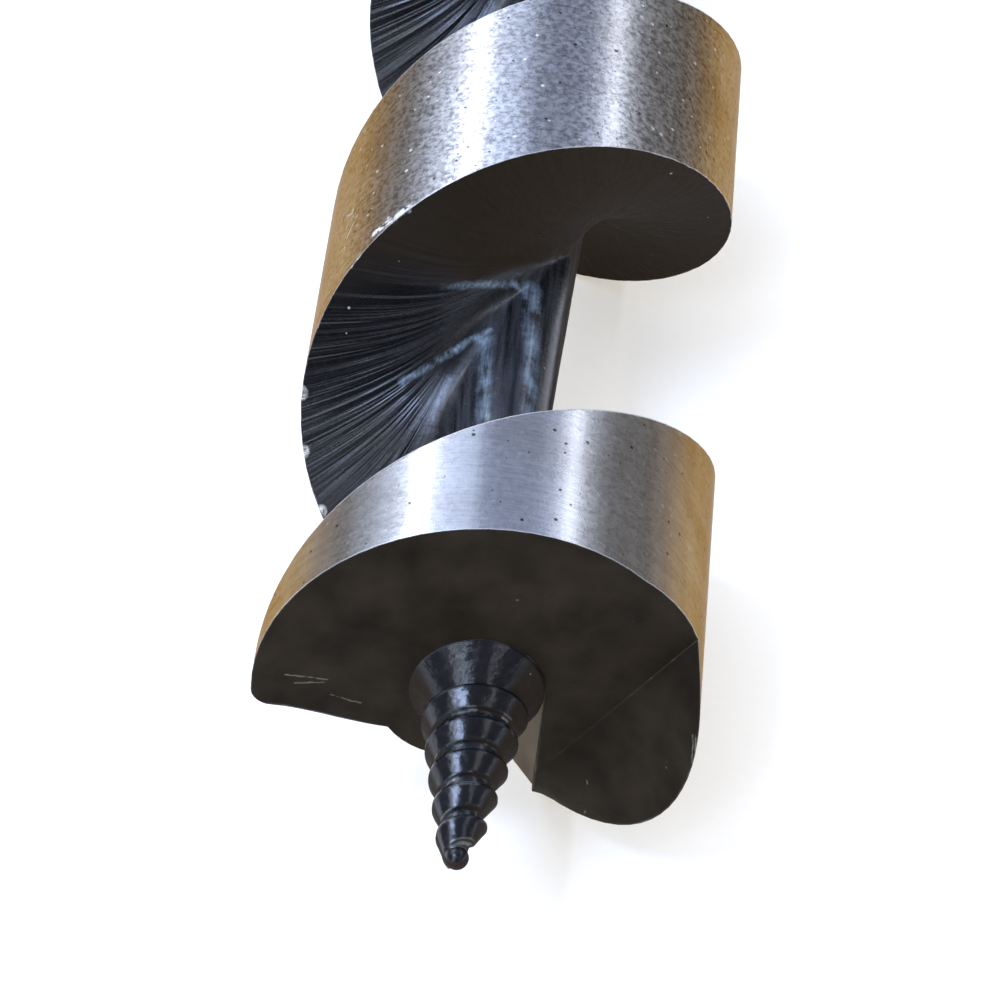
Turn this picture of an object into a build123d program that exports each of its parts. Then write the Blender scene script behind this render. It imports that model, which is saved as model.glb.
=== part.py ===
from build123d import *
import os
from math import atan2, cos, degrees, radians, sin, sqrt, tan

# Solid-centre auger bit for wood, one piece of forged steel, ground on its lands.
# It is worked out upright: the axis is Z, the cutting lip is at level 0 and the shank points up.
# Azimuths count from +X towards +Y. Last of all the bit is laid on its lands, along Y.
# Lengths are in millimetres and angles in degrees.

# Twist: one groove winds round a slim core and leaves one wide land
bit_diameter = 32.0
twist_pitch = 50.0
land_width = 20.2
core_diameter = 6.4
core_diameter_at_roof = 8.3
roof_cove = 3.0
floor_cove = 5.6
flight_length = 100.0
top_taper_length = 9.0
top_taper_angle = 38.0

# Lip: the groove starts in the throat, and its cove is wide there so that the lip is strong
throat_azimuth = 88.0
lip_azimuth = 173.0
lip_cove = 14.4
lip_stretch = 10.0
cove_blend = 120.0
lip_corner_radius = 1.6
lip_edge_turn = 18.0

# Cutting end: two clearance facets that meet in a crease
relief_azimuth = 35.0
clearance_level = 1.55
first_facet_angle = 3.6
first_facet_length = 2.1
second_facet_angle = 13.6
second_facet_length = 7.4
facet_fall = 4.5

# Spur: its inner face winds from the second crease down to a lower edge in a leaning plane
spur_azimuth = 18.6
spur_reach = 1.63
spur_edge_lean = 54.0
spur_leading_azimuth = -5.2
spur_leading_lean = 50.4
spur_edge_points = 11

# Heel: behind the spur the throat has an upright wall, and above it a facet that leans over it
heel_distance = 4.95
heel_level = 7.2
heel_lean = 31.4

# Web: the thick foot of the core over the throat, a cone above a short cylinder
web_radius = 5.75
web_shift = (-1.2, 0.8)
web_level = 1.4
web_apex_level = 19.5

# Lead screw: a conical flare, a tapered core and a thread whose lower flank is the steep one
flare_rim_radius = 5.1
flare_rim_level = 1.7
flare_foot_radius = 2.6
flare_foot_level = -1.1
flare_root = 2.0
flare_shift = (-0.25, -0.3)
screw_length = 14.9
screw_taper = 10.8
root_radius = 3.16
root_level = -0.5
screw_pitch = 2.7
thread_depth = 0.75
upper_flank = 1.5
lower_flank = 0.55
crest_flat = 0.2
thread_start_level = 0.75
thread_end_level = -13.2
tip_radius = 0.85

# Neck and hexagonal shank
neck_diameter = 10.5
neck_swell_length = 16.0
neck_length = 20.0
shank_across_flats = 11.1
shank_length = 48.0
shank_chamfer = 1.0

bit_radius = bit_diameter / 2
core_radius = core_diameter / 2
groove_width = twist_pitch - land_width
crease_distance = first_facet_length + second_facet_length
bit_length = flight_length + neck_length + shank_length
outside = 1.006 * bit_radius
clear = 2 * bit_radius


def slope(angle):
    """Rise per unit of run."""
    return tan(radians(angle))


def lathe(points):
    """A turned solid from pairs of radius and level."""
    return revolve(Plane.XZ * make_face(Polyline(*points, close=True)), Axis.Z)


def upright(azimuth):
    """Upright plane on the axis, with x outwards at an azimuth and y up."""
    along = (cos(radians(azimuth)), sin(radians(azimuth)), 0)
    across = (sin(radians(azimuth)), -cos(radians(azimuth)), 0)
    return Plane(origin=(0, 0, 0), x_dir=along, z_dir=across)


def floor_level(azimuth):
    """Level of the groove's floor, which comes down to the lip at the lip's azimuth."""
    return twist_pitch * (azimuth - lip_azimuth) / 360


def groove_section(azimuth, cove):
    """Radial section of the groove: floor, coved foot, core, coved roof."""
    far = 1.25 * bit_radius
    with BuildSketch(Plane.XZ) as section:
        with BuildLine():
            foot = (core_radius + cove, 0)
            neck = (core_diameter_at_roof / 2, groove_width - roof_cove)
            head = (core_diameter_at_roof / 2 + roof_cove, groove_width)
            Line((far, 0), foot)
            low = RadiusArc(foot, (core_radius, cove), cove)
            Line(low @ 1, neck)
            RadiusArc(neck, head, roof_cove)
            Line(head, (far, groove_width))
            Line((far, groove_width), (far, 0))
        make_face()
    return Pos(0, 0, floor_level(azimuth)) * Rot(0, 0, azimuth) * section.sketch


def groove_stretch(start, end, first_cove, last_cove):
    """A stretch of the groove on its screw path, between two azimuths."""
    rise = twist_pitch * (end - start) / 360
    path = Pos(0, 0, floor_level(start)) * Rot(0, 0, start) * Helix(twist_pitch, rise, bit_radius)
    first = groove_section(start, first_cove)
    if first_cove == last_cove:
        return sweep(first, path=path, is_frenet=True)
    last = groove_section(end, last_cove)
    return sweep([first, last], path=path, is_frenet=True, multisection=True)


def groove():
    """The whole groove: throat and lip, then a stretch where the cove narrows, then the long twist."""
    lip_end = lip_azimuth + lip_stretch
    blend_end = lip_end + cove_blend
    run_out = lip_end + 360 * flight_length / twist_pitch
    space = groove_stretch(throat_azimuth, lip_end, lip_cove, lip_cove)
    space += groove_stretch(lip_end, blend_end, lip_cove, floor_cove)
    space += groove_stretch(blend_end, run_out, floor_cove, floor_cove)
    return space


def flight():
    """The blank with its groove, turned down afterwards at the top to a short taper."""
    blank_top = flight_length + twist_pitch / 2
    blank = lathe([(0, -bit_radius), (bit_radius, -bit_radius), (bit_radius, blank_top), (0, blank_top)])
    top_radius = bit_radius - top_taper_length * slope(top_taper_angle)
    turned_off = lathe(
        [
            (0, flight_length),
            (top_radius, flight_length),
            (bit_radius, flight_length - top_taper_length),
            (clear, flight_length - top_taper_length),
            (clear, blank_top + clear),
            (0, blank_top + clear),
        ]
    )
    return blank - groove() - turned_off


def first_crease_level():
    """Level of the first crease where it passes the axis."""
    return clearance_level + first_facet_length * slope(first_facet_angle)


def second_crease_level():
    """Level of the second crease where it passes the axis."""
    return first_crease_level() + second_facet_length * slope(second_facet_angle)


def facets_space():
    """The space under both clearance facets, up to the second crease."""
    near = first_crease_level() - (clear + first_facet_length) * slope(first_facet_angle)
    outline = Polyline(
        (-clear, near),
        (first_facet_length, first_crease_level()),
        (crease_distance, second_crease_level()),
        (crease_distance, -2 * clear),
        (-clear, -2 * clear),
        close=True,
    )
    fall = Vector(0, 1, -slope(facet_fall)).rotate(Axis.Z, relief_azimuth)
    profile = upright(relief_azimuth) * make_face(outline)
    return extrude(Pos(-clear * fall) * profile, amount=2 * clear * fall.length, dir=fall)


def spur_edge_level(azimuth):
    """Level of the spur's lower edge, which lies in a leaning plane and rises at its leading end."""
    lean = bit_radius * slope(spur_edge_lean)
    edge = lean * (1 - cos(radians(azimuth - spur_azimuth))) - spur_reach
    lead = bit_radius * radians(spur_leading_azimuth - azimuth) * slope(spur_leading_lean)
    return max(edge, lead)


def spur_space():
    """The space inside the spur, under a face ruled from the second crease to the lower edge."""
    reach = sqrt(outside**2 - crease_distance**2)
    drop = reach * slope(facet_fall)
    start = Vector(crease_distance, -reach, second_crease_level() + drop).rotate(Axis.Z, relief_azimuth)
    end = Vector(crease_distance, reach, second_crease_level() - drop).rotate(Axis.Z, relief_azimuth)
    turn = degrees(atan2(reach, crease_distance))
    points = []
    for count in range(spur_edge_points):
        azimuth = relief_azimuth - turn + 2 * turn * count / (spur_edge_points - 1)
        points.append(Vector(outside, 0, spur_edge_level(azimuth)).rotate(Axis.Z, azimuth))
    face = Face.make_surface_from_curves(Edge.make_line(start, end), Edge.make_spline(points))
    return extrude(face, amount=2 * clear, dir=(0, 0, -1))


def heel_space():
    """The space before the heel's wall and facet, on the throat's side of the groove's start."""
    outline = Polyline(
        (-clear, -clear),
        (heel_distance, -clear),
        (heel_distance, heel_level),
        (heel_distance - clear * slope(heel_lean), heel_level + clear),
        (-clear, heel_level + clear),
        close=True,
    )
    wedge = extrude(upright(0) * make_face(outline), amount=-clear)
    throat_side = extrude(upright(throat_azimuth) * Rectangle(4 * clear, 4 * clear), amount=clear)
    return wedge & throat_side


def lip_corner_space():
    """What is rounded off the outer corner of the lip."""
    corner = Vector(bit_radius, 0).rotate(Axis.Z, lip_azimuth)
    edge = Vector(-1, 0).rotate(Axis.Z, lip_azimuth + lip_edge_turn)
    inwards = edge.rotate(Axis.Z, -90)
    depth = corner.dot(inwards) + lip_corner_radius
    run = sqrt((bit_radius - lip_corner_radius) ** 2 - depth**2)
    centre = depth * inwards - run * edge
    outwards = centre.normalized()
    past = 2 * lip_corner_radius
    outline = Polyline(
        centre,
        centre + past * outwards,
        centre + past * (outwards - inwards),
        centre - past * inwards,
        close=True,
    )
    column = extrude(make_face(outline), amount=land_width, both=True)
    return column - Pos(centre) * Cylinder(lip_corner_radius, 3 * land_width)


def web():
    """The foot of the core, which gets thicker towards the end face."""
    outline = [(0, -bit_radius), (web_radius, -bit_radius), (web_radius, web_level), (0, web_apex_level)]
    return Pos(*web_shift) * lathe(outline)


def screw_core():
    """The lead screw's core: a taper with a ball-shaped tip, and a flare that carries it at the end face."""
    tip_level = tip_radius - screw_length
    tip = root_radius + (tip_level - root_level) * slope(screw_taper)
    flare_top = flare_rim_level + flare_root
    core = lathe(
        [
            (0, tip_level),
            (tip, tip_level),
            (root_radius, root_level),
            (root_radius, flare_top),
            (0, flare_top),
        ]
    )
    flare = lathe(
        [
            (0, flare_foot_level),
            (flare_foot_radius, flare_foot_level),
            (flare_rim_radius, flare_rim_level),
            (flare_rim_radius, flare_top),
            (0, flare_top),
        ]
    )
    return core + Pos(*flare_shift) * flare + Pos(0, 0, tip_level) * Sphere(tip_radius)


def thread():
    """The right-hand thread of the lead screw, which narrows with the core."""
    start_radius = root_radius + (thread_start_level - root_level) * slope(screw_taper)
    path = Helix(
        screw_pitch,
        thread_start_level - thread_end_level,
        start_radius,
        center=(0, 0, thread_start_level),
        direction=(0, 0, -1),
        cone_angle=-screw_taper,
    )
    outwards = Vector((path @ 0).X, (path @ 0).Y).normalized()
    across = Plane(origin=path @ 0, x_dir=outwards, z_dir=outwards.rotate(Axis.Z, 90))
    ridge = Polyline(
        (-thread_depth / 2, -lower_flank - crest_flat),
        (0, -lower_flank),
        (thread_depth, -crest_flat),
        (thread_depth, 0),
        (0, upper_flank - crest_flat),
        (-thread_depth / 2, upper_flank),
        close=True,
    )
    return sweep(across * make_face(ridge), path=path, is_frenet=True)


def shank():
    """The neck, which swells from the core, and the hexagonal shank with a chamfered end."""
    neck_level = flight_length + neck_length
    neck_radius = neck_diameter / 2
    neck = lathe(
        [
            (0, flight_length - neck_swell_length),
            (neck_radius, flight_length),
            (neck_radius, neck_level),
            (0, neck_level),
        ]
    )
    hexagon = RegularPolygon(shank_across_flats / 2, 6, major_radius=False)
    prism = extrude(Plane.XY.offset(neck_level) * hexagon, amount=shank_length)
    corner_radius = shank_across_flats / sqrt(3)
    turned = lathe(
        [
            (0, neck_level),
            (corner_radius + shank_chamfer, neck_level),
            (corner_radius + shank_chamfer, bit_length - 2 * shank_chamfer),
            (corner_radius - shank_chamfer, bit_length),
            (0, bit_length),
        ]
    )
    return neck + (prism & turned)


def laid(part):
    """Lays the upright bit on its lands along Y, with its middle over the origin."""
    middle = (bit_length - screw_length) / 2
    return Pos(0, -middle, bit_radius) * Rot(X=-90) * part


def main():
    body = flight() - heel_space() + web()
    body = body - facets_space() - spur_space() - lip_corner_space()
    body = body + screw_core() + thread() + shank()
    os.makedirs("parts", exist_ok=True)
    export_step(laid(body), "parts/auger_bit.step")


if __name__ == "__main__":
    main()
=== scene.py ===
from math import pi

import bpy
from mathutils import Matrix, Vector


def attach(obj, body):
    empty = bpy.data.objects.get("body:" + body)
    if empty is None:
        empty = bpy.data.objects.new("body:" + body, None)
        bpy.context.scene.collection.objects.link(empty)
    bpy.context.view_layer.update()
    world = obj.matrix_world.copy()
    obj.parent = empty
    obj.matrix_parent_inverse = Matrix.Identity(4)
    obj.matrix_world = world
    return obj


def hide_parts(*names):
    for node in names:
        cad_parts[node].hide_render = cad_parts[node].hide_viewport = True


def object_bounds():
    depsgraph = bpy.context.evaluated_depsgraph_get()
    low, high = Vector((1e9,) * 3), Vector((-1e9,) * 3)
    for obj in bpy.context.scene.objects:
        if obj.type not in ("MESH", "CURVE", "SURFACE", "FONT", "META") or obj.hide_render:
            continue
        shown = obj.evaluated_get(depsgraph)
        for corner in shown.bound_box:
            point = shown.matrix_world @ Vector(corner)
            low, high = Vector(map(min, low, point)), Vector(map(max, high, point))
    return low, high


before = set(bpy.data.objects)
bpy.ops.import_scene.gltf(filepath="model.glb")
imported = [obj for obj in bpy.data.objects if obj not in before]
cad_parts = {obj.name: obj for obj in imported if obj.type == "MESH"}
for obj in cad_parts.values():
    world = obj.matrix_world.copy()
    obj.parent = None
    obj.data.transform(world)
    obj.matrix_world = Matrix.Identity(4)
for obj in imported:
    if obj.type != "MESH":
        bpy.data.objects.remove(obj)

MM = 0.001

# The bit lies along Y on the floor. Its axis runs at half its diameter over the floor.
cad_low, cad_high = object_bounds()
BIT_RADIUS = (cad_high.x - cad_low.x) / 2
TIP = Vector((0, cad_low.y, BIT_RADIUS))

# What tells the bit's finishes apart: distances from the axis, levels over the tip, and how a face lies
LAND_EDGE = BIT_RADIUS - 0.1 * MM
SCREW_REACH = 5.6 * MM
SCREW_LENGTH = 20 * MM
END_STARTS = 14 * MM
END_STOPS = 26 * MM
HEEL_FACING = Vector((-0.854, -0.521, 0))
SAME_FACING = 0.999
MOST_LAND_TILT = 0.3
LEAST_END_TILT = 0.2

# Radius of the circle round the axis that the lines of the groove's ridges touch
WEB_RADIUS = 5.3 * MM

# Every scratch, nick and scuff below is a line between two places, in millimetres from the tip.
# Nicks in the rim of the flight, which show on the ground land and in the groove alike
RIM_NICKS = [
    ((-10.7, 52.9, 11.9), (-9.6, 53.45, 12.8)),
    ((-11.9, 52.4, 10.7), (-10.7, 52.9, 11.9)),
    ((-15.95, 45.45, -0.25), (-15.95, 45.6, 0.1)),
    ((-15.4, 43.3, -4.3), (-15.35, 43.4, -4.1)),
    ((-13.5, 41.15, -8.2), (-13.55, 41.3, -8.0)),
]

# Scratches on the land beside the widest nick
LAND_SCRATCHES = [
    ((-14.5, 56.4, 6.6), (-13.7, 57.6, 8.3)),
    ((-14.1, 55.2, 7.6), (-13.4, 57.2, 8.8)),
    ((-13.9, 57.9, 7.9), (-14.4, 58.6, 7.0)),
]

# Scratches on the end face: beside the lip, on the spur and along the spur's outer edge
END_SCRATCHES = [
    ((-13.6, 15.2, 0.9), (-10.6, 15.45, 0.6)),
    ((-12.9, 15.2, 0.1), (-10.9, 15.4, 0.3)),
    ((-10.4, 15.45, -0.9), (-8.1, 15.6, -1.6)),
    ((8.7, 17.2, -8.6), (9.3, 17.4, -10.6)),
    ((9.3, 17.4, -10.6), (8.9, 17.5, -12.6)),
    ((15.75, 17.8, 3.4), (15.85, 15.2, 0.6)),
    ((15.85, 14.9, 0.2), (15.9, 14.25, -0.85)),
    ((15.75, 15.0, 0.1), (15.8, 13.95, -1.9)),
    ((15.6, 14.9, 0.0), (15.7, 14.2, -1.2)),
    ((15.9, 14.6, 0.1), (15.95, 14.0, -1.3)),
]

# Two painted highlights along the web, as pale blue-grey lines in the lacquer's colour.
PAINTED_WEB_HIGHLIGHTS = [
    ((-2.7, 50.2, 3.6), (-1.5, 36.0, 3.1)),
    ((0.6, 56.0, 4.2), (2.2, 36.0, 3.0)),
]

# Thinner painted highlights where the cove meets the web.
PAINTED_ROOT_HIGHLIGHTS = [
    ((-8.5, 46.7, 1.1), (-4.4, 49.6, 2.9)),
    ((-4.4, 49.6, 2.9), (-2.3, 51.2, 3.6)),
    ((-6.2, 52.1, 6.55), (-3.1, 54.1, 5.65)),
    ((-3.1, 54.1, 5.65), (-0.8, 55.6, 4.7)),
    ((-0.8, 55.6, 4.7), (0.4, 55.2, 4.1)),
]

# A painted warm reflection on both flanks: tan and darkest just below the top, pale and yellow lower down.
# Each tint stands at the height of the normal where it shows: 0 faces sideways and 1 faces up.
PAINTED_FLANK_REFLECTION_TINTS = [
    (0.38, "#DAD4C6"),
    (0.5, "#D6CCB8"),
    (0.6, "#C4B7A2"),
    (0.7, "#BAB0A3"),
    (0.79, "#DAD5CE"),
    (0.87, "#FFFFFF"),
]

# Each lamp faces a middle of its own, so far up the bit from this level over the tip.
LAMPS_START = 40 * MM
ALONG_BIT = (0, 1, 0)
ASLANT = (0.55, 0.48, 0.69)
DAYLIGHT, SKY, PALE_SKY, BLUE_SKY = "#F0F5FF", "#D2E2FF", "#BCD2FF", "#A8C4FF"

# Node settings that repeat, and the colour sockets of a Mix node, whose names aren't its own alone
SMOOTHLY = {"interpolation_type": "SMOOTHSTEP"}
COLOURS = {"data_type": "RGBA"}
COLOUR_A, COLOUR_B, MIXED = 6, 7, 2


def linear(hex_colour):
    """An sRGB hex colour as linear red, green, blue and full alpha."""
    parts = [int(hex_colour[i : i + 2], 16) / 255 for i in (1, 3, 5)]
    return [p / 12.92 if p <= 0.04045 else ((p + 0.055) / 1.055) ** 2.4 for p in parts] + [1.0]


def connect(tree, source, socket):
    """Links an output, or a node's first output, to an input."""
    tree.links.new(source.outputs[0] if hasattr(source, "outputs") else source, socket)


def add(tree, kind, links=None, values=None, **settings):
    """Adds one shader node with its settings, the values of its inputs and what is linked to them."""
    node = tree.nodes.new("ShaderNode" + kind)
    for name, setting in settings.items():
        setattr(node, name, setting)
    for key, value in (values or {}).items():
        node.inputs[key].default_value = linear(value) if isinstance(value, str) else value
    for key, source in (links or {}).items():
        connect(tree, source, node.inputs[key])
    return node


def finish_of(name, constants):
    """A new finish: its material, node tree and shader, with the shader's constant values."""
    material = bpy.data.materials.new(name)
    material.use_nodes = True
    tree = material.node_tree
    tree.nodes.clear()
    shader = add(tree, "BsdfPrincipled", values=constants)
    add(tree, "OutputMaterial", {"Surface": shader})
    return material, tree, shader


def place_from_tip(tree):
    """The place on the bit from its tip, in metres."""
    here = add(tree, "TexCoord").outputs["Object"]
    return add(tree, "VectorMath", {0: here}, {1: TIP}, operation="SUBTRACT")


def sharp_edges(tree, width):
    """The normal rounded over that width at each edge, and how far it turns: 0 on a flat, 1 on an edge."""
    rounded = add(tree, "Bevel", values={"Radius": width}, samples=6)
    facing = add(tree, "NewGeometry").outputs["Normal"]
    same = add(tree, "VectorMath", {0: rounded, 1: facing}, operation="DOT_PRODUCT").outputs["Value"]
    turned = add(tree, "MapRange", {"Value": same}, {"From Min": 0.995, "From Max": 0.9}, **SMOOTHLY)
    return rounded, turned


def specks(tree, place, spacing, share, size):
    """Round specks of uneven size in that share of a random pattern's cells. The size is in spacings."""
    cells = add(tree, "TexVoronoi", {"Vector": place}, {"Scale": 1 / spacing})
    dice = add(tree, "SeparateColor", {0: cells.outputs["Color"]})
    chosen = add(tree, "Math", {0: dice.outputs[0]}, {1: share}, operation="LESS_THAN")
    radius = add(tree, "MapRange", {"Value": dice.outputs[1]}, {"To Min": 0.3 * size, "To Max": size})
    inside = add(tree, "Math", {0: radius, 1: cells.outputs["Distance"]}, operation="SUBTRACT")
    spot = add(tree, "MapRange", {"Value": inside}, {"From Min": -0.1 * size, "From Max": 0.1 * size})
    return add(tree, "Math", {0: spot, 1: chosen}, operation="MULTIPLY")


def worn_lines(tree, place, lines, width, wander, core=0.4):
    """Lines that wander a little: 1 on the core, which is that share of the width, and 0 beside them."""
    drift_values = {"Scale": 1 / (1.2 * MM), "Detail": 4.0, "Roughness": 0.75}
    drift = add(tree, "TexNoise", {"Vector": place}, drift_values).outputs["Color"]
    drift = add(tree, "VectorMath", {0: drift}, {1: (0.5, 0.5, 0.5)}, operation="SUBTRACT")
    reach = {1: (wander, wander, wander)}
    here = add(tree, "VectorMath", {0: drift, 2: place}, reach, operation="MULTIPLY_ADD")
    band = {"From Min": 0.5 * width, "From Max": 0.5 * core * width}
    worn = None
    for start, end in lines:
        run = (Vector(end) - Vector(start)) * MM
        from_start = add(tree, "VectorMath", {0: here}, {1: Vector(start) * MM}, operation="SUBTRACT")
        run_share = {1: run / run.length_squared}
        share = add(tree, "VectorMath", {0: from_start}, run_share, operation="DOT_PRODUCT")
        share = add(tree, "Clamp", {0: share.outputs["Value"]})
        nearest = add(tree, "VectorMath", {"Scale": share}, {0: run}, operation="SCALE")
        gap = add(tree, "VectorMath", {0: from_start, 1: nearest}, operation="DISTANCE")
        line = add(tree, "MapRange", {"Value": gap.outputs["Value"]}, band, **SMOOTHLY)
        worn = add(tree, "Math", {0: worn, 1: line}, operation="MAXIMUM") if worn else line
    return worn


def rim_nicks(tree, place, grain):
    """The nicks in the rim, ragged by the grain of the steel."""
    nicks = worn_lines(tree, place, RIM_NICKS, width=1.0 * MM, wander=0.9 * MM)
    ragged = add(tree, "MapRange", {"Value": grain}, {"From Min": 0.38, "From Max": 0.5})
    return add(tree, "Math", {0: nicks, 1: ragged}, operation="MULTIPLY")


def painted_flank_reflection(tree, height):
    """The tint of the painted warm reflection on the flanks, over a height of the normal."""
    tint = add(tree, "ValToRGB", {0: height})
    stops = tint.color_ramp.elements
    tint.color_ramp.interpolation = "EASE"
    for stop_height, colour in PAINTED_FLANK_REFLECTION_TINTS:
        stops.new(stop_height).color = linear(colour)
    stops.remove(stops[-1])
    stops.remove(stops[0])
    return tint


def drawn_round(tree, shader):
    """Fine marks run round the bit's axis, so highlights are drawn out across them."""
    connect(tree, add(tree, "Tangent", direction_type="RADIAL", axis="Y"), shader.inputs["Tangent"])


def ground_tool_steel():
    """Tool steel, ground on a cylinder: bright, with fine marks round it that draw a lamp out along it."""
    # The tan specular tint warms the steel's reflections at a slant: a painted warm reflection.
    constants = {"Anisotropic": 0.75, "Anisotropic Rotation": 0.25, "Specular Tint": "#B58C50"}
    material, tree, shader = finish_of("ground_tool_steel", constants)
    place = place_from_tip(tree)
    level = add(tree, "SeparateXYZ", {0: place}).outputs["Y"]
    facing = add(tree, "NewGeometry").outputs["Normal"]
    upward = add(tree, "SeparateXYZ", {0: facing}).outputs["Z"]
    clouds = add(tree, "TexNoise", {"Vector": place}, {"Scale": 1 / (6 * MM), "Detail": 3.0})

    # The grinding marks are real at about 0.05 mm, and are drawn at 0.2 mm so that they show.
    stretched = add(tree, "VectorMath", {0: place}, {1: (0.05, 1.0, 0.05)}, operation="MULTIPLY")
    marks_values = {"Scale": 1 / (0.2 * MM), "Detail": 3.0, "Roughness": 0.6}
    marks = add(tree, "TexNoise", {"Vector": stretched}, marks_values)
    faint_marks = add(tree, "Math", {0: marks}, {1: 0.25, 2: 0.375}, operation="MULTIPLY_ADD")

    # The first turn is rubbed smooth by the hole, and the turns behind it keep the grain of the scale.
    grain_values = {"Scale": 1 / (0.45 * MM), "Detail": 3.0, "Roughness": 0.62, "Distortion": 0.1}
    grain = add(tree, "TexNoise", {"Vector": place}, grain_values)
    behind_values = {"From Min": 34 * MM, "From Max": 48 * MM, "To Min": 0.25, "To Max": 1.0}
    behind = add(tree, "MapRange", {"Value": level}, behind_values, **SMOOTHLY)
    on_top_values = {"From Min": 0.4, "From Max": 0.75, "To Min": 0.3, "To Max": 1.0}
    on_top = add(tree, "MapRange", {"Value": upward}, on_top_values, **SMOOTHLY)
    rough_part = add(tree, "Math", {0: behind, 1: on_top}, operation="MULTIPLY")
    grainy = add(tree, "Math", {0: grain}, {1: 0.5}, operation="SUBTRACT")
    grainy = add(tree, "Math", {0: grainy, 1: rough_part, 2: faint_marks}, operation="MULTIPLY_ADD")
    tone = add(tree, "MapRange", {"Value": grainy}, {"From Min": 0.33, "From Max": 0.67})
    tones = {COLOUR_A: "#9C9CA0", COLOUR_B: "#EEEEEF"}
    colour = add(tree, "Mix", {0: tone}, tones, **COLOURS).outputs[MIXED]

    # Stain in clouds, and a painted warm reflection on the flanks
    stain_values = {"From Min": 0.4, "From Max": 0.7, "To Min": 0.0, "To Max": 0.3}
    stain = add(tree, "MapRange", {"Value": clouds}, stain_values)
    colour = add(tree, "Mix", {0: stain, COLOUR_A: colour}, {COLOUR_B: "#9B9289"}, **COLOURS).outputs[MIXED]
    uneven = add(tree, "Math", {0: clouds, 2: upward}, {1: 0.1}, operation="MULTIPLY_ADD")
    flank_reflection = {COLOUR_A: colour, COLOUR_B: painted_flank_reflection(tree, uneven)}
    colour = add(tree, "Mix", flank_reflection, {0: 1.0}, blend_type="MULTIPLY", **COLOURS).outputs[MIXED]

    # Dark pits, and white metal in flecks, nicks, scratches and along the rim
    pits = specks(tree, place, spacing=0.8 * MM, share=0.3, size=0.2)
    colour = add(tree, "Mix", {0: pits, COLOUR_A: colour}, {COLOUR_B: "#5A544E"}, **COLOURS).outputs[MIXED]
    moved = add(tree, "VectorMath", {0: place}, {1: (7 * MM, 0, 0)}, operation="ADD")
    flecks = specks(tree, moved, spacing=0.8 * MM, share=0.3, size=0.22)
    flecks = add(tree, "Math", {0: flecks, 1: rough_part}, operation="MULTIPLY")
    rounded, turned = sharp_edges(tree, 0.22 * MM)
    nicks = rim_nicks(tree, place, grain)
    scratches = worn_lines(tree, place, LAND_SCRATCHES, width=0.14 * MM, wander=0.5 * MM)
    scratches = add(tree, "Math", {0: scratches}, {1: 0.55}, operation="MULTIPLY")
    rim_wear = add(tree, "Math", {0: turned}, {1: 0.85}, operation="MULTIPLY")
    worn = add(tree, "Math", {0: nicks, 1: scratches}, operation="MAXIMUM")
    worn = add(tree, "Math", {0: worn, 1: rim_wear}, operation="MAXIMUM")
    white = add(tree, "Math", {0: flecks, 1: worn}, operation="MAXIMUM")
    colour = add(tree, "Mix", {0: white, COLOUR_A: colour}, {COLOUR_B: "#F6F4F0"}, **COLOURS).outputs[MIXED]
    connect(tree, colour, shader.inputs["Base Color"])

    # Torn metal scatters light all ways, as a matt pale grey does.
    torn = add(tree, "MapRange", {"Value": worn}, {"To Min": 1.0, "To Max": 0.25})
    connect(tree, torn, shader.inputs["Metallic"])
    ground_values = {"From Min": 0.3, "From Max": 0.7, "To Min": 0.24, "To Max": 0.32}
    ground = add(tree, "MapRange", {"Value": grain}, ground_values)
    roughness = add(tree, "Math", {0: white, 2: ground}, {1: 0.35}, operation="MULTIPLY_ADD")
    connect(tree, roughness, shader.inputs["Roughness"])
    drawn_round(tree, shader)

    # Low bands along the bit bend the lamps' edges a little.
    lengthwise = add(tree, "VectorMath", {0: place}, {1: (1.0, 0.04, 1.0)}, operation="MULTIPLY")
    bands = add(tree, "TexNoise", {"Vector": lengthwise}, {"Scale": 1 / (1.3 * MM), "Detail": 2.0})
    height = add(tree, "Math", {0: tone, 1: pits}, operation="SUBTRACT")
    height = add(tree, "Math", {0: bands, 2: height}, {1: 1.5}, operation="MULTIPLY_ADD")
    depth = {"Strength": 0.5, "Distance": 0.01 * MM}
    connect(tree, add(tree, "Bump", {"Height": height, "Normal": rounded}, depth), shader.inputs["Normal"])
    return material


def milled_ridges(tree, place, across, distance):
    """The cutter's ridges, which lie on lines that touch the web and hardly change along the bit."""
    outwards = add(tree, "VectorMath", {0: across}, operation="NORMALIZE")
    rim = add(tree, "VectorMath", {0: outwards}, {"Scale": BIT_RADIUS}, operation="SCALE")
    web_share = add(tree, "Math", {1: distance}, {0: WEB_RADIUS}, operation="DIVIDE", use_clamp=True)
    slant = add(tree, "Math", {0: web_share}, operation="ARCCOSINE")
    slanted = add(tree, "VectorRotate", {"Vector": rim, "Angle": slant}, {"Axis": (0, 1, 0)})
    nearly_along = add(tree, "VectorMath", {0: place}, {1: (0, 0.05, 0)}, operation="MULTIPLY")
    on_rim = add(tree, "VectorMath", {0: slanted, 1: nearly_along}, operation="ADD")
    broad = add(tree, "TexNoise", {"Vector": on_rim}, {"Scale": 1 / (1.5 * MM), "Detail": 1.0})
    narrow = add(tree, "TexNoise", {"Vector": on_rim}, {"Scale": 1 / (0.55 * MM), "Detail": 2.0})
    return add(tree, "Math", {0: narrow, 2: broad}, {1: 0.9}, operation="MULTIPLY_ADD")


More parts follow.
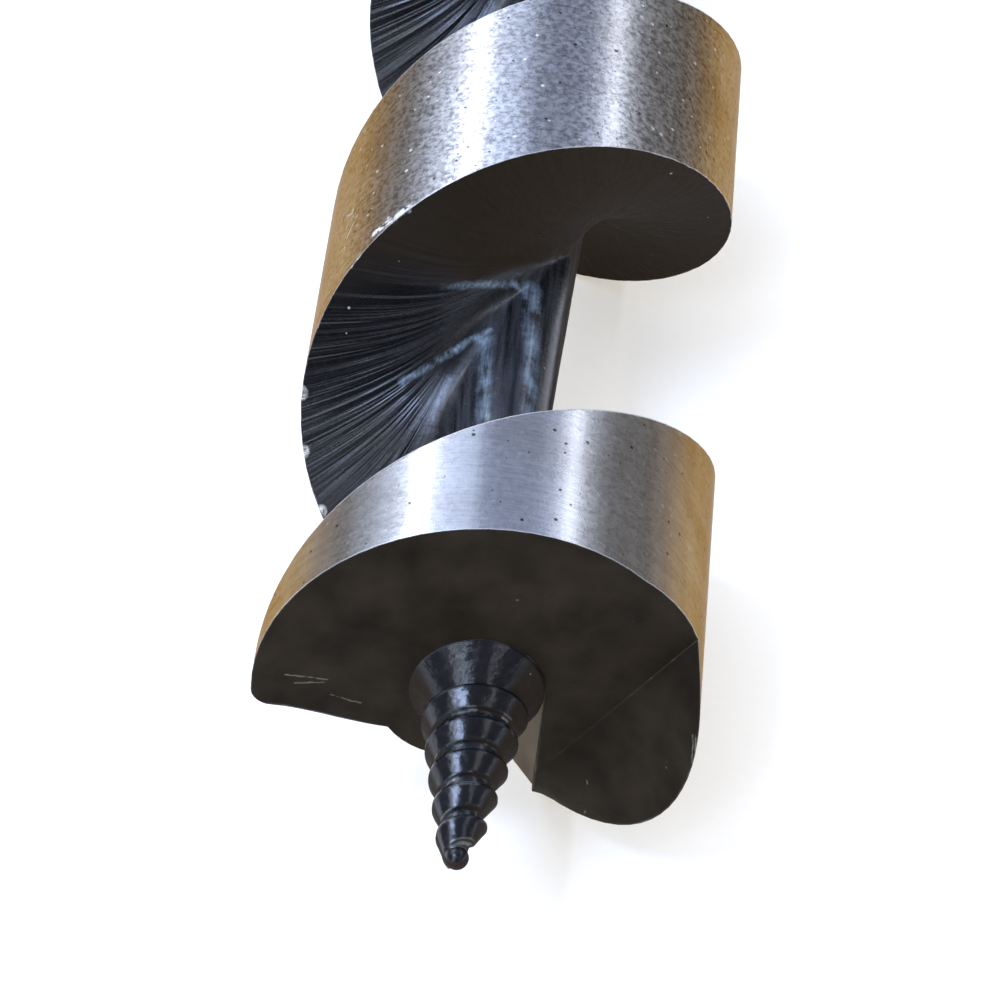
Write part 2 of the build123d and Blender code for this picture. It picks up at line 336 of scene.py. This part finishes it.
def bare_edges(tree, turned, patches, distance, least):
    """Where the lacquer is worn through: in patches of the rim and, half as far, of the screw's crests."""
    patchy_values = {"From Min": 0.52, "From Max": 0.62, "To Min": least}
    patchy = add(tree, "MapRange", {"Value": patches}, patchy_values, **SMOOTHLY)
    bare = add(tree, "Math", {0: patchy, 1: turned}, operation="MULTIPLY")
    outer = add(tree, "MapRange", {"Value": distance}, {"From Min": 7 * MM, "From Max": 9 * MM})
    crest_values = {"From Min": 4.2 * MM, "From Max": 3.4 * MM, "To Max": 0.5}
    crest = add(tree, "MapRange", {"Value": distance}, crest_values)
    exposed = add(tree, "Math", {0: outer, 1: crest}, operation="ADD")
    return add(tree, "Math", {0: bare, 1: exposed}, operation="MULTIPLY")


def rubbed_web(tree, lengthwise, distance, level):
    """Where chips rub the web of the flight thin, in lines along the bit, down to dark grey steel."""
    lines_values = {"Scale": 1 / (0.7 * MM), "Detail": 3.0, "Roughness": 0.6}
    lines = add(tree, "TexNoise", {"Vector": lengthwise}, lines_values)
    rubbed_values = {"From Min": 0.4, "From Max": 0.65, "To Min": 0.0, "To Max": 0.15}
    rubbed = add(tree, "MapRange", {"Value": lines}, rubbed_values)
    on_web_values = {"From Min": 5.2 * MM, "From Max": 4.2 * MM}
    on_web = add(tree, "MapRange", {"Value": distance}, on_web_values, **SMOOTHLY)
    in_flight = add(tree, "MapRange", {"Value": level}, {"From Min": 22 * MM, "From Max": 26 * MM})
    rubbed = add(tree, "Math", {0: rubbed, 1: on_web}, operation="MULTIPLY")
    return add(tree, "Math", {0: rubbed, 1: in_flight}, operation="MULTIPLY")


def painted_highlight_lines(tree, place, lengthwise, patches):
    """Painted highlights on the web and at its root, pale lines broken up by fine lines along the bit."""
    on_web = worn_lines(tree, place, PAINTED_WEB_HIGHLIGHTS, width=2.2 * MM, wander=1.2 * MM, core=0.0)
    at_root = worn_lines(tree, place, PAINTED_ROOT_HIGHLIGHTS, width=0.9 * MM, wander=0.6 * MM, core=0.0)
    painted_highlights = add(tree, "Math", {0: on_web, 1: at_root}, operation="MAXIMUM")
    lines_values = {"Scale": 1 / (0.3 * MM), "Detail": 4.0, "Roughness": 0.7}
    fine_lines = add(tree, "TexNoise", {"Vector": lengthwise}, lines_values)
    uneven = add(tree, "Math", {0: fine_lines, 1: patches}, operation="MULTIPLY")
    uneven_values = {"From Min": 0.15, "From Max": 0.38, "To Min": 0.0, "To Max": 0.9}
    uneven = add(tree, "MapRange", {"Value": uneven}, uneven_values)
    return add(tree, "Math", {0: painted_highlights, 1: uneven}, operation="MULTIPLY")


def black_lacquer(
    name,
    dark,
    light,
    gloss,
    specular,
    faces_up_from,
    wear=0.3,
    edge_rounding=0.15 * MM,
    ridge_height=0.05,
    lumps=0.3,
    brown_reflection_share=0.0,
    drawn_out=0.0,
    scratches=(),
):
    """Thin black lacquer over bare steel: a glossy black, worn through at the edges.

    What faces down or sideways is dulled and painted brown: a painted brown reflection. It stays
    black where the normal's height is over faces_up_from. How much of the painted brown covers the rest
    is crust, drawn_out is how far the ridges stretch a highlight, and gloss is the roughness on top.
    """
    constants = {"Specular IOR Level": specular, "Anisotropic": drawn_out, "Anisotropic Rotation": 0.25}
    material, tree, shader = finish_of(name, constants)
    place = place_from_tip(tree)
    level = add(tree, "SeparateXYZ", {0: place}).outputs["Y"]
    across = add(tree, "VectorMath", {0: place}, {1: (1, 0, 1)}, operation="MULTIPLY")
    distance = add(tree, "VectorMath", {0: across}, operation="LENGTH").outputs["Value"]
    lengthwise = add(tree, "VectorMath", {0: place}, {1: (1.0, 0.06, 1.0)}, operation="MULTIPLY")
    grain_values = {"Scale": 1 / (0.5 * MM), "Detail": 4.0, "Roughness": 0.6}
    grain = add(tree, "TexNoise", {"Vector": place}, grain_values)
    clouds = add(tree, "TexNoise", {"Vector": place}, {"Scale": 1 / (4 * MM), "Detail": 3.0})
    patches = add(tree, "TexNoise", {"Vector": place}, {"Scale": 1 / (1.6 * MM), "Detail": 3.0})
    rounded, turned = sharp_edges(tree, edge_rounding)

    # Black lacquer on what faces up and a little to the left, and a painted brown reflection on the rest
    facing = add(tree, "NewGeometry").outputs["Normal"]
    swept = add(tree, "VectorMath", {0: facing}, {1: (-0.15, 0, 1)}, operation="DOT_PRODUCT")
    faces_up_values = {"From Min": faces_up_from - 0.03, "From Max": faces_up_from + 0.17}
    faces_up = add(tree, "MapRange", {"Value": swept.outputs["Value"]}, faces_up_values, **SMOOTHLY)
    painted_brown_reflection = add(tree, "MapRange", {"Value": faces_up}, {"To Min": brown_reflection_share, "To Max": 0.0})

    # Wear: bare edges and nicks, a rubbed web and dust; and painted highlights on the web
    # A face with scratches is worn a little all along its edges, and another only in patches.
    least_wear = 0.4 if scratches else 0.0
    bare = bare_edges(tree, turned, patches, distance, least_wear)
    bare = add(tree, "Math", {0: bare}, {1: wear}, operation="MULTIPLY")
    bare = add(tree, "Math", {0: bare, 1: rim_nicks(tree, place, grain)}, operation="MAXIMUM")
    rubbed = rubbed_web(tree, lengthwise, distance, level)
    painted_highlights = painted_highlight_lines(tree, place, lengthwise, patches)
    dust = specks(tree, place, spacing=1.7 * MM, share=0.3, size=0.07)
    dust = add(tree, "Math", {0: dust}, {1: wear}, operation="MULTIPLY")
    # The first layer of colour is the painted brown reflection on what doesn't face up.
    layers = [(painted_brown_reflection, "#443A2E"), (rubbed, "#8E9096"), (painted_highlights, "#93A6B4")]
    if scratches:
        scratched = worn_lines(tree, place, scratches, width=0.2 * MM, wander=0.5 * MM)
        scratched = add(tree, "Math", {0: scratched, 1: patches}, operation="MULTIPLY")
        layers.append((scratched, "#857D72"))
    layers += [(dust, "#B5B0A6"), (bare, "#D9D5CE")]
    shade = add(tree, "MapRange", {"Value": clouds}, {"From Min": 0.3, "From Max": 0.7})
    colour = add(tree, "Mix", {0: shade}, {COLOUR_A: dark, COLOUR_B: light}, **COLOURS).outputs[MIXED]
    for cover, tint in layers:
        colour = add(tree, "Mix", {0: cover, COLOUR_A: colour}, {COLOUR_B: tint}, **COLOURS).outputs[MIXED]
    connect(tree, colour, shader.inputs["Base Color"])

    # Bare and rubbed steel are metal, and the painted brown reflection is part metal with a dark colour,
    # which gives no white glare at a slant.
    metal = add(tree, "Math", {0: bare, 1: rubbed}, operation="MAXIMUM")
    metal = add(tree, "Math", {0: metal, 1: painted_brown_reflection}, operation="MAXIMUM")
    connect(tree, metal, shader.inputs["Metallic"])
    # The specular tint is white on what faces up and painted brown elsewhere, darkest under the painted brown
    # reflection.
    tints_by_facing = {COLOUR_A: "#B0926E", COLOUR_B: "#FFFFFF"}
    painted_reflection_tint = add(tree, "Mix", {0: faces_up}, tints_by_facing, **COLOURS).outputs[MIXED]
    painted_reflection_tint = add(tree, "Mix", {0: painted_brown_reflection, COLOUR_A: painted_reflection_tint}, {COLOUR_B: "#1E1812"}, **COLOURS).outputs[MIXED]
    connect(tree, painted_reflection_tint, shader.inputs["Specular Tint"])
    gloss_values = {"From Min": 0.25, "From Max": 0.75, "To Min": gloss, "To Max": gloss + 0.12}
    roughness = add(tree, "MapRange", {"Value": grain}, gloss_values)
    dull = add(tree, "MapRange", {"Value": faces_up}, {"To Min": 0.42, "To Max": 0.0})
    roughness = add(tree, "Math", {0: roughness, 1: dull}, operation="ADD")
    connect(tree, roughness, shader.inputs["Roughness"])
    drawn_round(tree, shader)

    # The ridges are lower on what doesn't face up, and fade towards the web.
    ridges = milled_ridges(tree, place, across, distance)
    reach_values = {"From Min": 5 * MM, "From Max": 8.5 * MM, "To Max": ridge_height}
    reach = add(tree, "MapRange", {"Value": distance}, reach_values, **SMOOTHLY)
    ridge_share_by_facing = add(tree, "MapRange", {"Value": faces_up}, {"To Min": 0.4, "To Max": 1.0})
    reach = add(tree, "Math", {0: reach, 1: ridge_share_by_facing}, operation="MULTIPLY")
    ridges = add(tree, "Math", {0: ridges, 1: reach}, operation="MULTIPLY")
    height = add(tree, "Math", {0: grain, 2: ridges}, {1: 0.12}, operation="MULTIPLY_ADD")
    height = add(tree, "Math", {0: patches, 2: height}, {1: lumps}, operation="MULTIPLY_ADD")
    depth = {"Strength": 1.0, "Distance": 0.12 * MM}
    connect(tree, add(tree, "Bump", {"Height": height, "Normal": rounded}, depth), shader.inputs["Normal"])
    return material


def matt_white_paper():
    """Pressed paper: plain white and matt, with its fibre drawn at 0.8 mm so that it shows faintly."""
    material, tree, shader = finish_of("matt_white_paper", {"Roughness": 0.9})
    place = add(tree, "TexCoord").outputs["Object"]
    fibre = add(tree, "TexNoise", {"Vector": place}, {"Scale": 1 / (0.8 * MM), "Detail": 3.0})
    whites = {COLOUR_A: "#F1F0EE", COLOUR_B: "#F5F4F2"}
    paper = add(tree, "Mix", {0: fibre}, whites, **COLOURS).outputs[MIXED]
    connect(tree, paper, shader.inputs["Base Color"])
    return material


def finish_on(face, places):
    """The finish that a face has on the real bit, from where its corners lie and how it faces."""
    spans = [Vector((p.x, 0, p.z)).length for p in places]
    farthest_up = max(p.y for p in places)
    if min(spans) > LAND_EDGE and abs(face.normal.y) < MOST_LAND_TILT:
        return ground_steel
    if max(spans) < SCREW_REACH and farthest_up < SCREW_LENGTH:
        return lacquered_screw
    if face.normal.dot(HEEL_FACING) > SAME_FACING:
        return rubbed_heel
    if END_STARTS < farthest_up < END_STOPS and face.normal.y < -LEAST_END_TILT:
        return lacquered_end
    return lacquered_groove


def finished_bit(node):
    """A copy of the solid with a finish on each face."""
    mesh = node.data.copy()
    mesh.name = "finished_bit"
    mesh.materials.clear()
    for finish in FINISHES:
        mesh.materials.append(finish)
    for face in mesh.polygons:
        places = [mesh.vertices[i].co - TIP for i in face.vertices]
        face.material_index = FINISHES.index(finish_on(face, places))
    piece = bpy.data.objects.new("finished_bit", mesh)
    bpy.context.scene.collection.objects.link(piece)
    return piece


def plain_floor(half_width):
    """A square floor round the middle of the frame."""
    mesh = bpy.data.meshes.new("floor")
    corners = [(x * half_width, y * half_width, 0) for x, y in ((-1, -1), (1, -1), (1, 1), (-1, 1))]
    mesh.from_pydata(corners, [], [(0, 1, 2, 3)])
    mesh.materials.append(matt_white_paper())
    piece = bpy.data.objects.new("floor", mesh)
    bpy.context.scene.collection.objects.link(piece)
    return piece


def soft_light(name, place, width, length, brightness, tint, start=0.0, long_way=ALONG_BIT, lights_only=None):
    """A soft box that faces its middle, with its length the long way and its power from its brightness."""
    data = bpy.data.lights.new(name, "AREA")
    data.shape = "RECTANGLE"
    data.size = width
    data.size_y = length
    data.energy = brightness * pi * width * length
    data.color = linear(tint)[:3]
    lamp = bpy.data.objects.new(name, data)
    back = Vector(place).normalized()
    up = (Vector(long_way) - back * back.dot(Vector(long_way))).normalized()
    facing = Matrix((up.cross(back), up, back)).transposed().to_4x4()
    middle = TIP + Vector((0, LAMPS_START + start, 0))
    lamp.matrix_world = Matrix.Translation(middle + Vector(place)) @ facing
    bpy.context.scene.collection.objects.link(lamp)
    if lights_only:
        lamp.light_linking.receiver_collection = lights_only
        lamp.light_linking.blocker_collection = lights_only


ground_steel = ground_tool_steel()

# On the milled groove the lacquer shows the cutter's ridges, and what faces down is dulled and painted brown,
# a painted reflection.
lacquered_groove = black_lacquer(
    "black_lacquer_on_milled_groove",
    dark="#0C0D0F",
    light="#151519",
    gloss=0.19,
    specular=0.5,
    faces_up_from=0.26,
    wear=1.0,
    ridge_height=1.8,
    lumps=0.1,
    brown_reflection_share=0.65,
    drawn_out=0.7,
)

# On the ground end face it is dark brown and dull all over, and its reflections are painted brown.
lacquered_end = black_lacquer(
    "black_lacquer_on_ground_end",
    dark="#0A0907",
    light="#28231C",
    gloss=0.35,
    specular=0.5,
    faces_up_from=0.95,
    wear=0.15,
    edge_rounding=0.2 * MM,
    scratches=END_SCRATCHES,
)

# On the turned screw it is thick and glossy on top, lies in lumps and rounds the thread's edges; its sides
# are painted brown, a painted reflection.
lacquered_screw = black_lacquer(
    "black_lacquer_on_turned_screw",
    dark="#0D0E11",
    light="#17181D",
    gloss=0.16,
    specular=0.5,
    faces_up_from=0.35,
    wear=1.0,
    edge_rounding=0.35 * MM,
    ridge_height=0.0,
    lumps=1.0,
    brown_reflection_share=0.5,
)

# The heel is rubbed by the chips that pass it, to a matt brown grey.
rubbed_heel = black_lacquer(
    "rubbed_lacquer_on_heel",
    dark="#5B5044",
    light="#6F6452",
    gloss=0.45,
    specular=0.4,
    faces_up_from=0.95,
)
FINISHES = [ground_steel, lacquered_groove, lacquered_end, rubbed_heel, lacquered_screw]

bit = finished_bit(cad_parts["auger_bit"])
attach(bit, "root")
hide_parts("auger_bit")

floor = plain_floor(2.0)

# Camera at the photograph's viewing angle: it looks along the bit from its tip, 44 degrees down
CAMERA_FROM_TIP = Vector((0, -179.88, 209.15)) * MM
CAMERA_TURN = Matrix(
    (
        (0.992914275, -0.118832753, -0.00013956),
        (0.0825146812, 0.690300602, -0.718802063),
        (0.0855135668, 0.713697313, 0.695214769),
    )
)
camera_data = bpy.data.cameras.new("camera")
camera_data.sensor_width = 36
camera_data.lens = 144.709
camera = bpy.data.objects.new("camera", camera_data)
bpy.context.scene.collection.objects.link(camera)
camera.matrix_world = Matrix.Translation(TIP + CAMERA_FROM_TIP) @ CAMERA_TURN.to_4x4()
bpy.context.scene.camera = camera

# The left and right windows are long and narrow, so each draws one bright streak on the ground lands.
for name, place, width, length, brightness, tint, start, long_way in (
    ("left_window", (-0.390, 0.0, 0.456), 0.06, 2.2, 5.8, DAYLIGHT, 0.25, ALONG_BIT),
    ("left_curtain", (-0.426, 0.0, 0.545), 0.68, 1.2, 0.88, SKY, 0.6, ALONG_BIT),
    ("left_wall", (-0.560, 0.0, 0.560), 1.15, 1.2, 0.28, SKY, 0.6, ALONG_BIT),
    ("right_window", (0.357, 0.0, 0.482), 0.035, 2.2, 5.0, DAYLIGHT, 0.25, ALONG_BIT),
    ("right_curtain", (0.412, 0.0, 0.556), 0.36, 1.2, 0.4, SKY, 0.6, ALONG_BIT),
    ("ceiling", (0.0, 0.0, 1.0), 1.6, 1.2, 0.50, BLUE_SKY, 0.7, ALONG_BIT),
    ("front_skylight", (-0.34, -0.23, 0.68), 0.22, 0.22, 24.0, PALE_SKY, 0.0, ALONG_BIT),
    ("front_window", (-0.31, -0.565, 0.43), 0.08, 0.9, 9.0, SKY, 0.0, ASLANT),
    ("right_low_window", (0.69, -0.24, 0.08), 0.05, 0.75, 4.5, SKY, 0.0, ALONG_BIT),
):
    soft_light(name, place, width, length, brightness, tint, start, long_way)

# A lamp for the floor alone keeps it white round the bit.
floor_only = bpy.data.collections.new("floor_only")
floor_only.objects.link(floor)
soft_light("floor_wash", (0.0, 0.0, 0.45), 0.3, 0.3, 5.4, "#FFFAF0", lights_only=floor_only)

world = bpy.data.worlds.new("studio")
world.use_nodes = True
background = world.node_tree.nodes["Background"]
background.inputs["Color"].default_value = linear("#FFFFFF")
background.inputs["Strength"].default_value = 0.2
bpy.context.scene.world = world
bpy.context.scene.view_settings.view_transform = "Standard"
